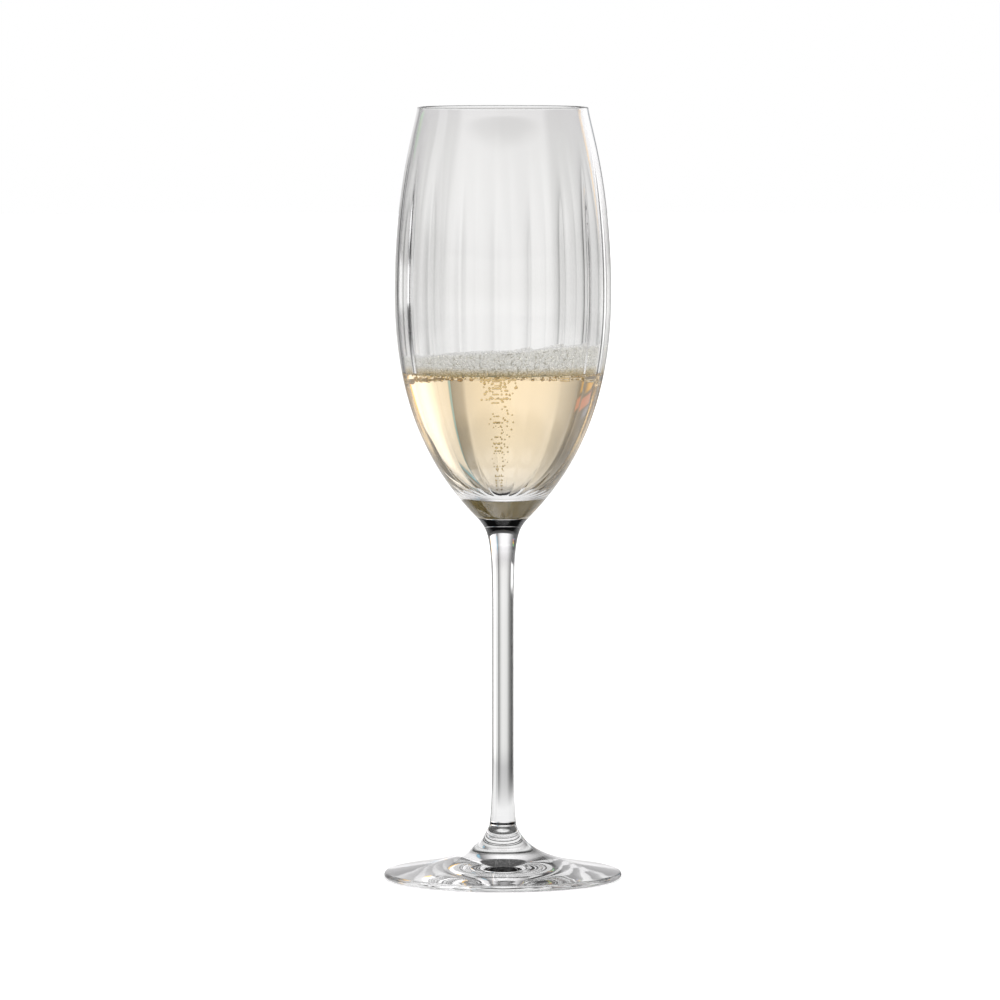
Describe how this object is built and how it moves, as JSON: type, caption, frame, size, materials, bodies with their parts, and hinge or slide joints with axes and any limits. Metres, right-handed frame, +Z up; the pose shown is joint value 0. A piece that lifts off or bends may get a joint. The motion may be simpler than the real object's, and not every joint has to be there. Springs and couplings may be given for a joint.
{
  "type": "champagne flute",
  "caption": "Tall stemmed glass with a tapered, optic-ribbed bowl, slender stem and round foot, holding sparkling wine under a layer of foam.",
  "frame": {"origin": "centre of the ring that the foot stands on, on the table's surface", "axes": "+Z up the glass's axis, from the foot to the lip; +X towards the side where the foam is deepest"},
  "size_m": [0.074, 0.074, 0.24],
  "materials": {
    "crystal_glass": "clear polished crystal glass, fire-polished lip",
    "sparkling_wine": "clear pale straw-gold wine with rising bubbles",
    "wine_foam": "wet off-white foam of small packed bubbles"
  },
  "bodies": {
    "root": {"foot": "crystal_glass", "stem": "crystal_glass", "bowl": "crystal_glass", "wine": "sparkling_wine", "foam": "wine_foam"}
  },
  "joints": []
}
